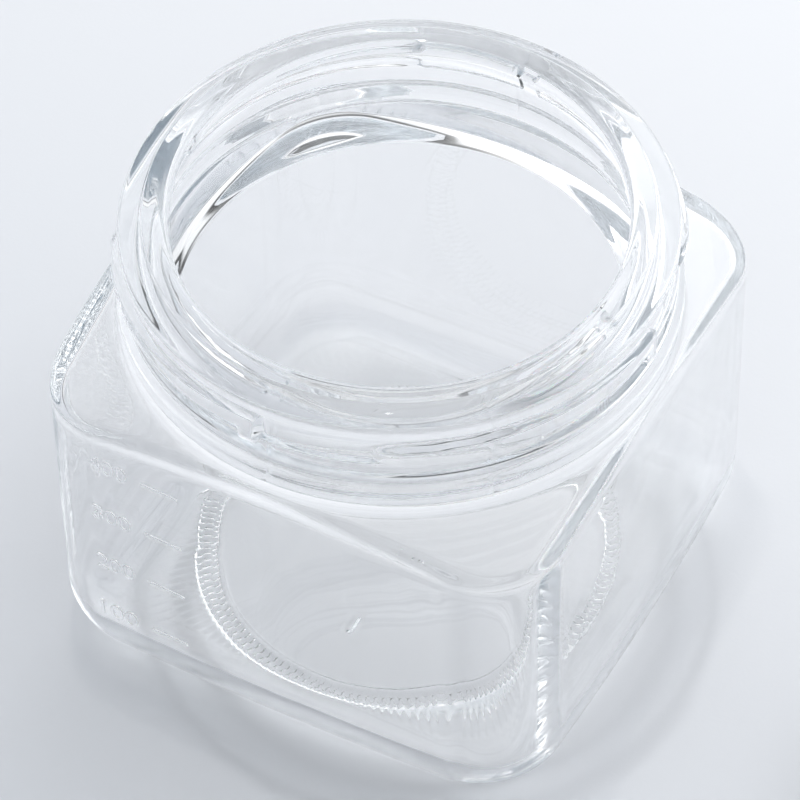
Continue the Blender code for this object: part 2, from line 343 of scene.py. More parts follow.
for r, z in collar_line:
    round_ring(r, z)
for k in range(25):
    z = neck_low_z + neck_rings_apart * k
    to_neck = float(np.clip((z - step_top_z + step_round_low) / step_round, 0, 1))
    round_ring(step_r + (neck_r - step_r) * to_neck, z)
for r, z in lip_line:
    round_ring(r, z)
print("stations to the land", len(stations))

# %% [markdown]
# The land on the lip is flat for the sealing ring. Inside, the mouth's edge is rounded and
# the neck is hollowed between the mouth and the throat. Then the glass opens under the
# shoulder, turns sharply down at the faces and comes round a wide heel to a domed floor.

# %% Stations: land, mouth and throat
throat_r, throat_z, throat_round = 0.0378, 0.0625, 0.0014
neck_top_r, neck_top_z, neck_hollow, hollow_fullness = 0.03804, 0.0848, 0.0035, 0.7
land_line = [
    (0.0425, 0.08702), (0.0423, 0.08704), (0.0420, 0.08708), (0.0414, jar_top_z),
    (0.0408, jar_top_z), (0.0402, jar_top_z), (0.0396, 0.08706), (0.03920, 0.08696),
    (0.03885, 0.08678), (0.03855, 0.08652), (0.03832, 0.08618), (0.03816, 0.08578),
    (0.03808, 0.08535)]
for r, z in land_line:
    round_ring(r, z)
for k in range(20):
    share = k / 20
    hollow = neck_hollow * sin(pi * share) ** hollow_fullness
    round_ring(neck_top_r + (throat_r - neck_top_r) * share + hollow,
               neck_top_z + (throat_z + throat_round - neck_top_z) * share)
for turn in [0.0] + quarter_turn(6):
    round_ring(throat_r + throat_round * (1 - cos(turn)), throat_z + throat_round * (1 - sin(turn)))
print("stations to the throat", len(stations))

# %% [markdown]
# The inside follows the outside at the wall's thickness, but its corners are tighter, as
# air pressed the glass thin there. That is why the two inner edges of the shoulder meet
# in a point at the corner, as in the photograph. A shell offset by one thickness would
# give round inner corners and an even heel, which is not how the bottle mould works.

# %% Stations: shoulder inside, walls and floor
inside_half, inside_corner, inside_fillet = half_width - glass_wall, 0.0100, 0.0016
under_start = throat_r + throat_round
under_drop, under_run, under_slope = 0.0003, 0.0008, 0.22
inside_heel, floor_z, floor_dome = 0.0090, 0.0030, 0.0012


def under_height(r):
    """Height of the glass's lower face under the shoulder."""
    out = r - under_start
    return throat_z - under_drop * (1 - np.exp(-out / under_run)) - under_slope * out


def under_ring(share):
    def place(angle):
        r = rounded_square(angle, inside_half, inside_corner, face_bulge) - inside_fillet
        r = under_start + (r - under_start) * share
        return r, under_height(r)
    stations.append(place)


def inside_edge_ring(t):
    def place(angle):
        r = rounded_square(angle, inside_half, inside_corner, face_bulge)
        z = under_height(r)
        return (fillet_curve(t, r - inside_fillet, r, r),
                fillet_curve(t, under_height(r - inside_fillet), z, z - inside_fillet))
    stations.append(place)


def inside_wall_ring(share):
    def place(angle):
        r = rounded_square(angle, inside_half, inside_corner, face_bulge)
        top, low = under_height(r) - inside_fillet, floor_z + inside_heel
        return r, top + (low - top) * share
    stations.append(place)


for share in (0.08, 0.2, 0.35, 0.5, 0.65, 0.8, 0.92):
    under_ring(share)
for k in range(7):
    inside_edge_ring(k / 6)
for share in (0.04, 0.14, 0.28, 0.42, 0.56, 0.70, 0.84):
    inside_wall_ring(share)
for k in range(15):
    turn = pi / 2 * (1 - k / 14)
    inset = inside_heel * (1 - sin(turn))
    square_ring(inside_half - inset, inside_corner - inset / 2, face_bulge * sin(turn),
                floor_z + inside_heel * (1 - cos(turn)))
for share in (0.96, 0.88, 0.78, 0.66, 0.52, 0.38, 0.25, 0.12, 0.04, 0.0):
    round_ring(foot_inner * share, floor_z + floor_dome * (1 - share ** 4))
print("stations in all", len(stations))

# %% [markdown]
# ## Spin and press
# The section through the middle of a face is drawn and turned about the axis, which
# gives a round jar. The real one was blown into a square mould, so each ring is then
# pressed to its own shape. Columns are gathered at the ends of the lugs and at the
# seams of the mould, so that these edges are crisp.

# %% Turn the section
columns = 450
drawn = [tuple(float(v[0]) for v in place(np.zeros(1))) for place in stations]
jar = spin_round(draw_line("jar_glass_body", drawn), columns)
points = read_points(jar)
finder = KDTree(len(drawn))
for index, (r, z) in enumerate(drawn):
    finder.insert((r, z, 0), index)
finder.balance()
station_of = np.array([finder.find((hypot(p[0], p[1]), p[2], 0))[1] for p in points])
column_of = np.round(np.arctan2(points[:, 1], points[:, 0]) / (2 * pi) * columns).astype(int) % columns
print("turned jar", len(points), "points,", len(jar.data.polygons), "faces")

# %% [markdown]
# Even columns would cut the lug ends and the seams at random places and leave jagged
# steps. The nearest columns are moved to each edge instead, on the neck only. So the mesh
# needs no more points, and the walls keep their even spacing.

# %% Gather columns at the crisp edges
lug_first, lug_run, lug_stop = radians(-67), radians(62), radians(4.2)
seam_angles = [radians(a) for a in (271, 316.5, 91, 136.5)]
edge_gap, seam_gap = radians(0.16), radians(0.22)
gather_from_z, gather_full_z = 0.064, 0.068
even = np.arange(columns) * 2 * pi / columns
gathered = even.copy()


def gather_columns(middle, offsets):
    """Moves the nearest columns to these offsets from the middle angle."""
    near = np.argsort(np.abs(angle_apart(gathered, middle)))[:len(offsets)]
    near = near[np.argsort(angle_apart(gathered[near], middle))]
    gathered[near] = middle + np.array(offsets)


for n in range(4):
    lug_end = lug_first + lug_run + n * pi / 2
    gather_columns(lug_end, [-edge_gap, edge_gap])
    gather_columns(lug_end + lug_stop, [-edge_gap, edge_gap])
for seam_angle in seam_angles:
    gather_columns(seam_angle, [-seam_gap, 0, seam_gap])
drawn_z = np.array([z for r, z in drawn])
on_neck = ease(drawn_z, gather_from_z, gather_full_z)[:, None]
angle = even[None, :] + angle_apart(gathered, even)[None, :] * on_neck
radius, height = np.zeros_like(angle), np.zeros_like(angle)
for index, place in enumerate(stations):
    radius[index], height[index] = place(angle[index])
print("rings pressed", radius.shape)

# %% [markdown]
# The lugs are what the lid's lugs run under: each starts low and rounded, rises as it
# runs round, and ends in an upright stop that reaches the lip.

# %% Lugs and their stops
lug_r, lug_height, lug_round = 0.0479, 0.0030, 0.0010
ramp_start, ramp_rise, lead_share, lead_height_share = 0.0002, 0.0019, 0.09, 0.55
stop_edge, stop_overlap, stop_below = radians(0.01), radians(0.2), 0.0006
neck_zone_low, lip_overlap = 0.0755, 0.0004
top_station = int(np.argmax(drawn_z))
outside = np.arange(len(stations))[:, None] <= top_station
lug = np.zeros_like(angle)
for n in range(4):
    from_start = angle_apart(angle, lug_first + n * pi / 2)
    from_stop = angle_apart(angle, lug_first + lug_run + n * pi / 2)
    along = from_start / lug_run
    lead = np.sqrt(np.clip(along / lead_share, 0, 1))
    low_edge = step_top_z + ramp_start + ramp_rise * np.clip(along, 0, 1)
    high_edge = low_edge + lug_height * (lead_height_share + (1 - lead_height_share) * lead)
    body = bump_between(height, low_edge, high_edge, lug_round)
    lug = np.maximum(lug, body * lead * (along > 0) * (from_stop < stop_overlap))
    stop = (from_stop > -stop_edge) & (from_stop < lug_stop + stop_edge)
    lug = np.maximum(lug, stop * (height > step_top_z - stop_below))
neck_zone = outside & (height > neck_zone_low) & (height < lip_low_z + lip_overlap)
radius = np.where(neck_zone, radius + np.maximum(lug_r - radius, 0) * lug, radius)
print("lugs raised on", int(((lug > 0.5) & neck_zone).sum()), "points")

# %% [markdown]
# The foot ring carries three staggered rows of small beads, which keep the hot jar from
# sticking and the cold one from slipping. Seen through the thick heel they make the wide
# rough band round the base. A bump texture could give that look too, but the beads would
# be missing from the shape itself, so they are pressed into the mesh.

# %% Beads on the foot ring
bead_depth, bead_row, bead_half, bead_every = 0.00080, 0.00130, 0.0009, 3
bead_top_share, bead_fade_from, bead_fade_to = 0.2, 0.0019, 0.0025
foot_zone_top, foot_zone_half = 0.0012, 0.0026
from_middle = radius - foot_middle
on_foot = outside & (drawn_z[:, None] < foot_zone_top) & (np.abs(from_middle) < foot_zone_half)
bead = np.zeros_like(angle)
for step, side in ((0, -1), (1, 0), (0, 1)):
    row = 1 - ease(np.abs(from_middle - side * bead_row), bead_half * bead_top_share, bead_half)
    bead = np.maximum(bead, row * ((np.arange(columns) + step) % bead_every == 0))
bead_fade = 1 - ease(np.abs(from_middle), bead_fade_from, bead_fade_to)
height = np.where(on_foot, height + bead_depth * (1 - bead) * bead_fade, height)
print("beads", 3 * columns // bead_every)

# %% [markdown]
# The seams are hairlines where the halves of the mould met. The short ridge in the base is
# where the shears cut the glass from the melt. Both are pressed into the same rings, so
# they are part of the glass and bend what is seen through it.

# %% Seams and the cut mark
seam_proud, seam_half, seam_low_z, seam_under_top = 0.00007, radians(0.1), 0.0675, 0.0001
seam = np.zeros_like(angle)
for seam_angle in seam_angles:
    seam = np.maximum(seam, np.abs(angle_apart(angle, seam_angle)) < seam_half)
seam_zone = outside & (height > seam_low_z) & (height < jar_top_z - seam_under_top)
radius = np.where(seam_zone, radius + seam_proud * seam, radius)
cut_x, cut_y, cut_half, cut_width = 0.0010, -0.0200, 0.0023, 0.0006
cut_end, cut_depth, cut_zone_r = 0.0007, 0.0006, 0.030
x, y = radius * np.cos(angle), radius * np.sin(angle)
cut_along = 1 - ease(np.abs(y - cut_y), cut_half - cut_end, cut_half)
on_cut = np.exp(-((x - cut_x) / cut_width) ** 2) * cut_along
height = np.where(outside & (radius < cut_zone_r), height - cut_depth * on_cut, height)
print("seams at", [round(a, 3) for a in seam_angles], "cut mark at", (cut_x, cut_y))

# %% [markdown]
# Blown glass is never quite even. Long, faint waves on the inside bend what is seen
# through it, and much fainter ones lie on the outside, where the mould was smooth.

# %% Waves in the walls, and the finished mesh
wave_outside, wave_inside, pole_r = 0.00002, 0.00009, 1e-6
wave_terms = ((1.0, 5, 55, 0.7), (0.6, 9, -90, 2.1), (0.5, 3, 150, 4.0))
waves_begin, waves_end = (0.006, 0.016), (0.050, 0.058)
wave = sum(share * np.sin(turns * angle + climb * height + start)
           for share, turns, climb, start in wave_terms)
body_zone = ease(height, *waves_begin) * (1 - ease(height, *waves_end))
radius = radius + np.where(outside, wave_outside, wave_inside) * wave * body_zone
point_r, point_angle = radius[station_of, column_of], angle[station_of, column_of]
point_r = np.where(point_r < pole_r, 0, point_r)
jar_points = np.stack([
    point_r * np.cos(point_angle) + jar_x,
    point_r * np.sin(point_angle),
    height[station_of, column_of]], axis=1)
write_points(jar, jar_points)
make_active(jar)
bpy.ops.object.shade_smooth()
edit_all(jar)
bpy.ops.mesh.normals_make_consistent(inside=False)
bpy.ops.object.mode_set(mode="OBJECT")
print("jar", [round(v, 4) for v in jar_points.min(0)], [round(v, 4) for v in jar_points.max(0)])


# %% [markdown]
# ## Helpers for materials
# Glass, silicone, table and room all need the same few things: a ramp of colours, a range,
# a mix, a fine relief from noise, and how far a place lies along one direction. Each is a
# short function that adds its nodes. It hands back the last output, or the whole node
# where the cell that calls it still has an input to link or set.

# %% Helpers: nodes
def colour_ramp(nodes, stops):
    """A ramp node with one (position, colour) for each stop."""
    ramp = nodes.new("ShaderNodeValToRGB")
    while len(ramp.color_ramp.elements) < len(stops):
        ramp.color_ramp.elements.new(0.5)
    for element, (position, colour) in zip(ramp.color_ramp.elements, stops):
        element.position = position
        element.color = (*colour, 1)
    return ramp


def value_range(nodes, low, high, to_low=0.0, to_high=1.0):
    """A node that turns the range from low to high into the range from to_low to to_high."""
    node = nodes.new("ShaderNodeMapRange")
    node.inputs["From Min"].default_value, node.inputs["From Max"].default_value = low, high
    node.inputs["To Min"].default_value, node.inputs["To Max"].default_value = to_low, to_high
    return node


def mix_colours(nodes, links, how, first, second):
    mix = nodes.new("ShaderNodeMix")
    mix.data_type, mix.blend_type = "RGBA", how
    mix.inputs["Factor"].default_value = 1.0
    links.new(first, mix.inputs["A"])
    links.new(second, mix.inputs["B"])
    return mix.outputs["Result"]


def mix_shaders(nodes, links, first, second):
    mix = nodes.new("ShaderNodeMixShader")
    links.new(first, mix.inputs[1])
    links.new(second, mix.inputs[2])
    return mix


def noise_relief(nodes, links, place, scale, depth, strength, detail=2.0, distortion=0.0):
    """A fine relief made by noise, for a shader's Normal."""
    noise = nodes.new("ShaderNodeTexNoise")
    noise.inputs["Scale"].default_value = scale
    noise.inputs["Detail"].default_value = detail
    noise.inputs["Distortion"].default_value = distortion
    links.new(place, noise.inputs["Vector"])
    relief = nodes.new("ShaderNodeBump")
    relief.inputs["Strength"].default_value = strength
    relief.inputs["Distance"].default_value = depth
    links.new(noise.outputs[0], relief.inputs["Height"])
    return relief.outputs[0]


def along_direction(nodes, links, place, direction):
    """How far a place lies along a direction."""
    dot = nodes.new("ShaderNodeVectorMath")
    dot.operation = "DOT_PRODUCT"
    dot.inputs[1].default_value = direction
    links.new(place, dot.inputs[0])
    return dot.outputs["Value"]


# %% [markdown]
# ## Clear glass
# What makes this glass look real is the light that reaches the table through it. A real
# jar bends the light of the room into soft bands, but tracing a small lamp through curved
# glass gives only noise. So the glass has a stand-in for light on its way to the table: a
# clear sheet that lets light straight through. The sheet is darker where it is seen edge
# on, and darker again in the thick neck, but only in its front half: that is painted shade,
# which throws the ring of shade in front of the jar and none behind it. The side is fixed
# on the jar, so the shade stays when the view turns.

# %% The clear sheet that stands in for the glass
picture_right, picture_away = Vector((0.874, 0.486, 0)), Vector((-0.486, 0.874, 0))
sheet_stops = ((0.0, (0.985, 0.99, 0.99)), (0.5, (0.97, 0.97, 0.97)),
               (0.78, (0.88, 0.88, 0.88)), (0.97, (0.66, 0.68, 0.71)))
painted_neck_shade, neck_shade_low, neck_shade_full = 0.75, 0.060, 0.066
jar_away = jar_x * picture_away.x
front_full, front_none = jar_away - 0.010, jar_away + 0.025


def clear_sheet(nodes, links, place):
    facing = nodes.new("ShaderNodeLayerWeight")
    facing.inputs["Blend"].default_value = 0.5
    edge_on = colour_ramp(nodes, sheet_stops)
    links.new(facing.outputs["Facing"], edge_on.inputs[0])
    # painted shade: only the neck's front half is darkened, which lays a ring of shadow in front of the jar
    front = value_range(nodes, front_full, front_none, painted_neck_shade, 1.0)
    links.new(along_direction(nodes, links, place, picture_away), front.inputs["Value"])
    split = nodes.new("ShaderNodeSeparateXYZ")
    links.new(place, split.inputs[0])
    neck = value_range(nodes, neck_shade_low, neck_shade_full, 1.0)
    links.new(split.outputs["Z"], neck.inputs["Value"])
    links.new(front.outputs["Result"], neck.inputs["To Max"])
    shade = mix_colours(nodes, links, "MULTIPLY", edge_on.outputs[0], neck.outputs["Result"])
    clear = nodes.new("ShaderNodeBsdfTransparent")
    links.new(shade, clear.inputs[0])
    return clear.outputs[0]


print("neck's shade starts at height", neck_shade_low)

# %% [markdown]
# Light from the room is bent by real glass for the larger share and goes through the sheet
# for the rest. Light from the lamp goes through the sheet alone. The eye always sees the
# real, bending glass. Long ways through it turn it grey, and faint waves on its surface
# come from the mould.

# %% Clear glass
straight_share = 0.38
depth_colour, depth_density = (0.52, 0.60, 0.66, 1), 3.5


def glass_material(name, tint, ior, wave_scale, wave_depth):
    material = bpy.data.materials.new(name)
    material.use_nodes = True
    nodes, links = material.node_tree.nodes, material.node_tree.links
    place = nodes.new("ShaderNodeTexCoord").outputs["Object"]
    shader = nodes["Principled BSDF"]
    shader.inputs["Base Color"].default_value = (*tint, 1)
    shader.inputs["Roughness"].default_value = 0.0
    shader.inputs["IOR"].default_value = ior
    shader.inputs["Transmission Weight"].default_value = 1.0
    waves = noise_relief(nodes, links, place, wave_scale, wave_depth, 1.0, detail=1.0, distortion=0.6)
    links.new(waves, shader.inputs["Normal"])
    clear = clear_sheet(nodes, links, place)
    path = nodes.new("ShaderNodeLightPath")
    part_clear = mix_shaders(nodes, links, shader.outputs[0], clear)
    part_clear.inputs[0].default_value = straight_share
    for_table = mix_shaders(nodes, links, shader.outputs[0], part_clear.outputs[0])
    links.new(path.outputs["Is Diffuse Ray"], for_table.inputs[0])
    for_lamp = mix_shaders(nodes, links, for_table.outputs[0], clear)
    links.new(path.outputs["Is Shadow Ray"], for_lamp.inputs[0])
    output = nodes["Material Output"]
    links.new(for_lamp.outputs[0], output.inputs["Surface"])
    depth = nodes.new("ShaderNodeVolumeAbsorption")
    depth.inputs["Color"].default_value = depth_colour
    depth.inputs["Density"].default_value = depth_density
    links.new(depth.outputs[0], output.inputs["Volume"])
    return material


def put_material(obj, material):
    obj.data.materials.clear()
    obj.data.materials.append(material)


glass_tint = (0.997, 0.998, 0.999)
jar_glass = glass_material("jar_glass", glass_tint, ior=1.5, wave_scale=55.0, wave_depth=0.00006)
put_material(jar, jar_glass)
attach(jar, "jar")
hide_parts("glass_jar")
print("glass", jar_glass.name, "on", jar.name)

# %% [markdown]
# ## Measuring marks
# The measuring lines and numerals stand out of the left front face, so that the fill can
# be read and felt. On the real jar they are cut into the mould. Carving them into the
# jar's mesh would take far too many points, so each is a thin bevelled plate of the same
# glass, bent to the bow of the face.

# %% Measuring lines
mark_first_z, mark_step_z = 0.0162, 0.0128
mark_heights = [mark_first_z + mark_step_z * k for k in range(4)]
mark_gap, mark_depth = 0.00002, 0.00030
line_long, line_tall, line_edge, line_x = 0.0072, 0.0009, 0.00012, -0.0197
face_straight = half_width - corner_radius


def face_outline(x):
    """How far the front face stands forward at each x, round the corner too."""
    bow = face_bulge * (1 - np.clip(x / face_straight, -1, 1) ** 2)
    past = np.clip(np.abs(x) - face_straight, 0, corner_radius)
    return half_width + bow - (corner_radius - np.sqrt(corner_radius ** 2 - past ** 2))


def bend_to_face(obj):
    """Moves a flat piece, modelled on the plane y = 0 and facing forward, onto the face."""
    places = read_points(obj)
    places[:, 1] -= face_outline(places[:, 0]) + mark_gap
    places[:, 0] += jar_x
    write_points(obj, places)
    put_material(obj, jar_glass)
    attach(obj, "jar")


for k, mark_z in enumerate(mark_heights):
    start_clean()
    bpy.ops.mesh.primitive_cube_add(size=1, location=(0, 0, 0))
    line = bpy.context.object
    line.name = line.data.name = "mark_line_" + str(100 * (k + 1))
    edit_all(line)
    bpy.ops.transform.resize(value=(line_long, mark_depth, line_tall))
    bpy.ops.mesh.bevel(offset=line_edge, segments=3, affect="EDGES")
    bpy.ops.mesh.select_all(action="SELECT")
    bpy.ops.mesh.subdivide(number_cuts=4)
    bpy.ops.transform.translate(value=(line_x, -mark_depth / 2, mark_z))
    bpy.ops.object.mode_set(mode="OBJECT")
    bpy.ops.object.shade_smooth_by_angle(angle=radians(40))
    bend_to_face(line)
print("measuring lines at", mark_heights)

# %% [markdown]
# The numerals are plain letter shapes, made solid, set in place and bent to the face like
# the lines. Their edges are well rounded, as hot glass can't fill a sharp corner, and the
# strokes are drawn in a little first, so that the rounding doesn't make them fat.
# Engraving them in a bump texture would look flat from the side.

# %% Numerals
numeral_wide, numeral_tall, numeral_x = 0.0076, 0.0036, -0.0299
letter_depth, letter_round, letter_inset, letter_merge = 0.02, 0.026, -0.010, 0.00001
for k, mark_z in enumerate(mark_heights):
    start_clean()
    bpy.ops.object.text_add(location=(0, 0, 0))
    numeral = bpy.context.object
    numeral.name = "mark_" + str(100 * (k + 1))
    numeral.data.body = str(100 * (k + 1))
    numeral.data.align_x, numeral.data.align_y = "CENTER", "CENTER"
    numeral.data.size = 1.0
    numeral.data.extrude = letter_depth
    numeral.data.bevel_depth = letter_round
    numeral.data.offset = letter_inset
    numeral.data.bevel_resolution = 2
    bpy.ops.object.convert(target="MESH")
    flat = read_points(numeral)
    low, high = flat.min(0), flat.max(0)
    middle = (low + high) / 2
    placed = np.stack([
        (flat[:, 0] - middle[0]) / (high[0] - low[0]) * numeral_wide + numeral_x,
        -(flat[:, 2] - low[2]) / (high[2] - low[2]) * mark_depth,
        (flat[:, 1] - middle[1]) / (high[1] - low[1]) * numeral_tall + mark_z], axis=1)
    write_points(numeral, placed)
    edit_all(numeral)
    bpy.ops.mesh.remove_doubles(threshold=letter_merge)
    bpy.ops.mesh.normals_make_consistent(inside=False)
    bpy.ops.object.mode_set(mode="OBJECT")
    bpy.ops.object.shade_smooth_by_angle(angle=radians(50))
    bend_to_face(numeral)

# %% [markdown]
# ## Lid
# The photograph shows the jar open, so the lid lies beside it, out of the picture. It is
# one moulding of clear plastic. Its section is one line, drawn here from the middle of the
# top outward: the small dimple where the plastic entered the mould, a shallow recess in
# which the next jar's foot ring stands, and the round edge.

# %% Lid's section: top
lid_r, lid_inner_r, lid_tall, lid_under = 0.0506, 0.0482, 0.0170, 0.0148
recess_r, recess_z, recess_round, recess_lean, recess_turn_z = 0.0394, 0.0158, 0.0010, 0.0001, 0.0006
lid_edge = 0.0022
lid_line = [(0, recess_z - 0.0003), (0.0009, recess_z - 0.0003), (0.0013, recess_z - 0.00012)]
lid_line += [(r, recess_z) for r in (0.0016, 0.006, 0.014, 0.024, 0.033, recess_r - recess_round)]
for turn in quarter_turn(5):
    lid_line.append((recess_r - recess_round + (recess_round + recess_lean) * sin(turn),
                     recess_z + recess_turn_z * (1 - cos(turn))))
for turn in quarter_turn(5):
    lid_line.append((recess_r + recess_round - (recess_round - recess_lean) * cos(turn),
                     lid_tall - recess_turn_z * (1 - sin(turn))))
lid_line += [(r, lid_tall) for r in (0.0430, 0.0455, lid_r - lid_edge - 0.0003)]
for turn in quarter_turn(12):
    lid_line.append((lid_r - lid_edge + lid_edge * sin(turn), lid_tall - lid_edge * (1 - cos(turn))))
print("lid's top", len(lid_line), "points")

# %% [markdown]
# The line goes on down the skirt, round its lower edge and up the inside, where rings lie
# close together for the four lugs. It crosses the underside of the top, with the thin rib
# that holds the sealing ring, and ends at the middle.

# %% Lid's section: skirt, inside and rib
rib_r, rib_wall, rib_low, rib_middle_z = 0.0383, 0.0010, 0.0118, 0.0132
skirt_rings_apart, lug_rings_from, lug_rings_apart = 0.0013, 0.0010, 0.00034
lid_line += [(lid_r, lid_tall - lid_edge - skirt_rings_apart * k) for k in range(1, 11)]
lid_line += [(lid_r, 0.0006), (lid_r - 0.0001, 0.0003), (lid_r - 0.0003, 0.00008), (lid_r - 0.0006, 0.0)]
lid_line += [(lid_inner_r + 0.0005, 0.0), (lid_inner_r + 0.0002, 0.0001), (lid_inner_r, 0.0003)]
lid_line += [(lid_inner_r, lug_rings_from + lug_rings_apart * k) for k in range(16)]
lid_line += [(lid_inner_r, z) for z in (0.0072, 0.0088, 0.0105, 0.0122, 0.0136, 0.0142, 0.01460)]
lid_line += [(lid_inner_r - 0.0001, 0.01472), (lid_inner_r - 0.0003, lid_under)]
lid_line += [(r, lid_under) for r in (0.0452, 0.0418, rib_r + 0.0003)]
lid_line += [(rib_r + 0.0001, lid_under - 0.0001), (rib_r, lid_under - 0.0003), (rib_r, rib_middle_z),
             (rib_r, rib_low + 0.0003), (rib_r - 0.0001, rib_low + 0.0001), (rib_r - 0.0003, rib_low)]
rib_back = rib_r - rib_wall
lid_line += [(rib_back + 0.0003, rib_low), (rib_back + 0.0001, rib_low + 0.0001),
             (rib_back, rib_low + 0.0003), (rib_back, rib_middle_z),
             (rib_back, lid_under - 0.0005), (rib_back - 0.0002, lid_under - 0.0002)]
lid_line += [(r, lid_under) for r in (rib_back - 0.0005, 0.033, 0.024, 0.014, 0.006, 0)]
lid_columns, grip_ribs = 720, 90
lid = spin_round(draw_line("lid_moulding", lid_line), lid_columns)
print("lid", len(lid.data.polygons), "faces")

# %% [markdown]
# The grip ribs and the four lugs are pressed into the turned lid by moving its points.
# The lugs are what run under the ramps of the jar's neck when the lid is turned. Joining
# separate blocks to the skirt would leave seams that a moulding does not have.

# %% Grip ribs and lugs of the lid
grip_depth, grip_zone, grip_begin, grip_end = 0.00055, 0.0012, (0.0008, 0.0022), (0.0128, 0.0158)
groove_middle, groove_swing = 0.5, 0.75
lid_lug_low, lid_lug_high, lid_lug_deep, lid_lug_soft = 0.0030, 0.0049, 0.0013, 0.00036
lid_lug_half, lid_lug_end, skirt_near = radians(9.2), radians(10), 0.00002
points = read_points(lid)
lid_radius = np.hypot(points[:, 0], points[:, 1])
lid_angle = np.arctan2(points[:, 1], points[:, 0])
skirt = (lid_radius > lid_r - grip_zone) & (points[:, 2] < lid_tall)
grip_rise = ease(points[:, 2], *grip_begin) * (1 - ease(points[:, 2], *grip_end))
groove = np.clip(groove_middle - groove_swing * np.cos(grip_ribs * lid_angle), 0, 1)
pressed = np.where(skirt, lid_radius - grip_depth * groove * grip_rise, lid_radius)
lid_lug = np.zeros_like(lid_angle)
for n in range(4):
    from_lug = np.abs(angle_apart(lid_angle, pi / 4 + n * pi / 2))
    lid_lug = np.maximum(lid_lug, 1 - ease(from_lug, lid_lug_half, lid_lug_end))
inner_skirt = np.abs(lid_radius - lid_inner_r) < skirt_near
lug_shape = lid_lug * bump_between(points[:, 2], lid_lug_low, lid_lug_high, lid_lug_soft)
pressed = np.where(inner_skirt, pressed - lid_lug_deep * lug_shape, pressed)
points[:, 0] = pressed * np.cos(lid_angle) + lid_x
points[:, 1] = pressed * np.sin(lid_angle)
write_points(lid, points)
make_active(lid)
bpy.ops.object.shade_smooth_by_angle(angle=radians(60))
edit_all(lid)
bpy.ops.mesh.normals_make_consistent(inside=False)
bpy.ops.object.mode_set(mode="OBJECT")
print("lid", [round(v, 4) for v in points.min(0)], [round(v, 4) for v in points.max(0)])

# %% [markdown]
# ## Sealing ring
# A soft ring of milky silicone lies under the lid's top and presses on the jar's land.
# It has two low beads on its lower face, which do the sealing, and well rounded edges.

# %% Turned sealing ring
seal_in, seal_out, seal_low, seal_top, seal_edge = 0.0386, 0.0479, 0.0129, 0.0145, 0.0004
seal_bead_half, seal_bead_deep = 0.0007, 0.00025


def seal_corner(r, z, first):
    """A rounded corner of the section, drawn backward from its first angle."""
    return [(r + seal_edge * cos(first + pi / 2 * k / 5), z + seal_edge * sin(first + pi / 2 * k / 5))
            for k in range(5, -1, -1)]


seal_line = seal_corner(seal_in + seal_edge, seal_top - seal_edge, pi / 2)
seal_line += [(r, seal_top) for r in (0.0405, 0.0430, 0.0455)]
seal_line += seal_corner(seal_out - seal_edge, seal_top - seal_edge, 0)
seal_line += seal_corner(seal_out - seal_edge, seal_low + seal_edge, -pi / 2)
for bead_r in (0.0452, 0.0420):
    for k in range(9):
        turn = pi * k / 8
        seal_line.append((bead_r + seal_bead_half * cos(turn), seal_low + seal_bead_deep * (1 - sin(turn))))
seal_line += seal_corner(seal_in + seal_edge, seal_low + seal_edge, pi)
seal_line.append(seal_line[0])
seal = spin_round(draw_line("sealing_ring_body", seal_line), 360)
points = read_points(seal)
points[:, 0] += lid_x
write_points(seal, points)
make_active(seal)
bpy.ops.object.shade_smooth_by_angle(angle=radians(50))
print("sealing ring", [round(v, 4) for v in points.min(0)], [round(v, 4) for v in points.max(0)])

# %% [markdown]
# The lid's plastic is nearly as clear as the glass but bends light a little less, so it is
# the same material with other values.

# %% Plastic
plastic_tint = (0.975, 0.985, 0.99)
lid_plastic = glass_material("lid_plastic", plastic_tint, ior=1.49, wave_scale=140.0, wave_depth=0.00002)
put_material(lid, lid_plastic)
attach(lid, "lid")
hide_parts("lid")
print("plastic", lid_plastic.name, "on", lid.name)

# %% [markdown]
# The silicone is milky: light enters it and spreads, so its edges look soft. Its faint
# mottle and fine grain come from the mould and keep it from looking like paint.

# %% Silicone
milk_stops = ((0.3, (0.80, 0.83, 0.845)), (0.7, (0.865, 0.88, 0.885)))
mottle_scale, mottle_detail, sheen_low, sheen_high = 160.0, 3.0, 0.32, 0.46
milk_share, milk_reach = 0.5, 0.0015


def silicone_material():
    material = bpy.data.materials.new("ring_silicone")
    material.use_nodes = True
    nodes, links = material.node_tree.nodes, material.node_tree.links
    shader = nodes["Principled BSDF"]
    place = nodes.new("ShaderNodeTexCoord").outputs["Object"]
    mottle = nodes.new("ShaderNodeTexNoise")
    mottle.inputs["Scale"].default_value = mottle_scale
    mottle.inputs["Detail"].default_value = mottle_detail
    links.new(place, mottle.inputs["Vector"])
    milk = colour_ramp(nodes, milk_stops)
    links.new(mottle.outputs[0], milk.inputs[0])
    links.new(milk.outputs[0], shader.inputs["Base Color"])
    sheen = value_range(nodes, 0.0, 1.0, sheen_low, sheen_high)
    links.new(mottle.outputs[0], sheen.inputs["Value"])
    links.new(sheen.outputs["Result"], shader.inputs["Roughness"])
    grain = noise_relief(nodes, links, place, scale=2600.0, depth=0.00003, strength=0.4)
    links.new(grain, shader.inputs["Normal"])
    shader.inputs["Subsurface Weight"].default_value = milk_share
    shader.inputs["Subsurface Scale"].default_value = milk_reach
    return material


ring_silicone = silicone_material()
put_material(seal, ring_silicone)
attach(seal, "lid")
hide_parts("sealing_ring")
print("silicone", ring_silicone.name, "on", seal.name)
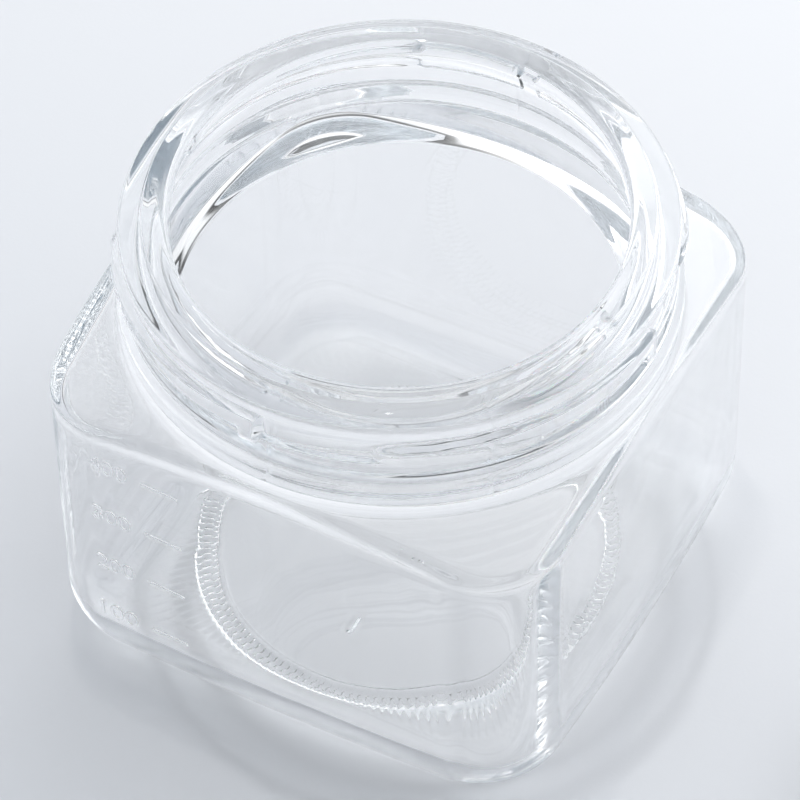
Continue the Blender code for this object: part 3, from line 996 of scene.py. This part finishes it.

# %% [markdown]
# ## Table, room and lamp
# The table is one pale matt sheet. Its colour is painted a little darker toward the near
# left, as in the photograph: painted shade where the room's light falls off. It has the very
# fine grain of coated board, and it keeps the shadow of the jar.

# %% Table
table_radius, table_corners, table_drop = 4.0, 96, 0.0002
table_middle, table_reach = jar_x * 0.3, 0.17
table_far_right = picture_right * 0.75 + picture_away * 0.65
# painted shade: the board's colour runs darker toward the near left, where the light falls off
painted_falloff_stops = ((0.0, (0.60, 0.625, 0.665)), (1.0, (0.82, 0.835, 0.865)))


def table_material():
    material = bpy.data.materials.new("pale_table")
    material.use_nodes = True
    nodes, links = material.node_tree.nodes, material.node_tree.links
    shader = nodes["Principled BSDF"]
    shader.inputs["Roughness"].default_value = 0.6
    shader.inputs["Specular IOR Level"].default_value = 0.2
    place = nodes.new("ShaderNodeTexCoord").outputs["Object"]
    far_right = along_direction(nodes, links, place, table_far_right)
    # painted shade: the fall-off of the light across the table, painted into its colour
    painted_falloff = value_range(nodes, table_middle - table_reach, table_middle + table_reach)
    links.new(far_right, painted_falloff.inputs["Value"])
    shade = colour_ramp(nodes, painted_falloff_stops)
    links.new(painted_falloff.outputs["Result"], shade.inputs[0])
    links.new(shade.outputs[0], shader.inputs["Base Color"])
    grain = noise_relief(nodes, links, place, scale=1400.0, depth=0.00005, strength=0.25)
    links.new(grain, shader.inputs["Normal"])
    return material


start_clean()
bpy.ops.mesh.primitive_circle_add(vertices=table_corners, radius=table_radius, fill_type="NGON",
                                  location=(0, 0, -table_drop))
table = bpy.context.object
table.name = "table_top"
table.data.materials.append(table_material())
print("table", table.name)

# %% [markdown]
# The room is what the glass shows most: pale all round, brightest behind the jar and to
# the right, and dimmer overhead. Near the horizon and below it is dark, and that gives
# the glass its thin dark lines. A plain white room would wash the glass out, and lamps
# alone would leave black gaps between them, so the room is a soft gradient with two wide
# glows. The camera itself sees a plain pale backdrop.

# %% World
world = bpy.data.worlds.new("studio_room")
bpy.context.scene.world = world
world.use_nodes = True
world.cycles.sampling_method = "NONE"
room_nodes, room_links = world.node_tree.nodes, world.node_tree.links
direction = room_nodes.new("ShaderNodeTexCoord").outputs["Generated"]
room_tint = (0.975, 1.0, 1.03)
wall_levels = ((0.0, 0.03), (0.12, 0.06), (0.22, 0.88), (0.5, 0.74), (0.8, 0.46), (1.0, 0.38))
glow_behind = ((0.60, 0.64, 0.46), 0.62, 0.96, 1.35)
glow_above = ((0.45, 0.60, 0.80), 0.20, 0.90, 0.40)


def room_glow(light, place, wide, tight, level):
    """Adds a soft round glow, from nothing at the wide cosine to its level at the tight one."""
    right, away, up = place
    toward = (picture_right * right + picture_away * away + Vector((0, 0, up))).normalized()
    glow = value_range(room_nodes, wide, tight, 0.0, level)
    glow.interpolation_type = "SMOOTHSTEP"
    room_links.new(along_direction(room_nodes, room_links, direction, toward), glow.inputs["Value"])
    return mix_colours(room_nodes, room_links, "ADD", light, glow.outputs["Result"])


split = room_nodes.new("ShaderNodeSeparateXYZ")
room_links.new(direction, split.inputs[0])
walls = colour_ramp(room_nodes, [(z, [level * c for c in room_tint]) for z, level in wall_levels])
room_links.new(split.outputs["Z"], walls.inputs[0])
light = walls.outputs[0]
for place, wide, tight, level in (glow_behind, glow_above):
    light = room_glow(light, place, wide, tight, level)
room = room_nodes["Background"]
room_links.new(light, room.inputs["Color"])
far_view = room_nodes.new("ShaderNodeBackground")
far_view.inputs["Color"].default_value = (0.80, 0.83, 0.87, 1)
seen = room_nodes.new("ShaderNodeLightPath")
choose = mix_shaders(room_nodes, room_links, room.outputs[0], far_view.outputs[0])
room_links.new(seen.outputs["Is Camera Ray"], choose.inputs[0])
room_links.new(choose.outputs[0], room_nodes["World Output"].inputs["Surface"])
print("room", world.name, "with", len(wall_levels), "levels and 2 glows")


# %% [markdown]
# One small lamp high above draws the crisp shade of the neck. Everything else is lit by
# the room. A larger lamp would blur that shade away.

# %% Lamp
def softbox(name, place, aim, size, power):
    data = bpy.data.lights.new(name, "AREA")
    data.shape = "RECTANGLE"
    data.size, data.size_y = size
    data.energy = power
    lamp = bpy.data.objects.new(name, data)
    bpy.context.scene.collection.objects.link(lamp)
    lamp.location = place
    lamp.rotation_euler = (Vector(aim) - Vector(place)).to_track_quat("-Z", "Y").to_euler()
    lamp.visible_transmission = False
    return lamp


lamp_place, lamp_aim = (jar_x - 0.128, 0.107, 1.2), (jar_x, 0, 0.03)
lamp = softbox("lamp_above", lamp_place, lamp_aim, size=(0.03, 0.03), power=2.4)
print("lamp", lamp.name, "at", tuple(round(v, 3) for v in lamp.location))
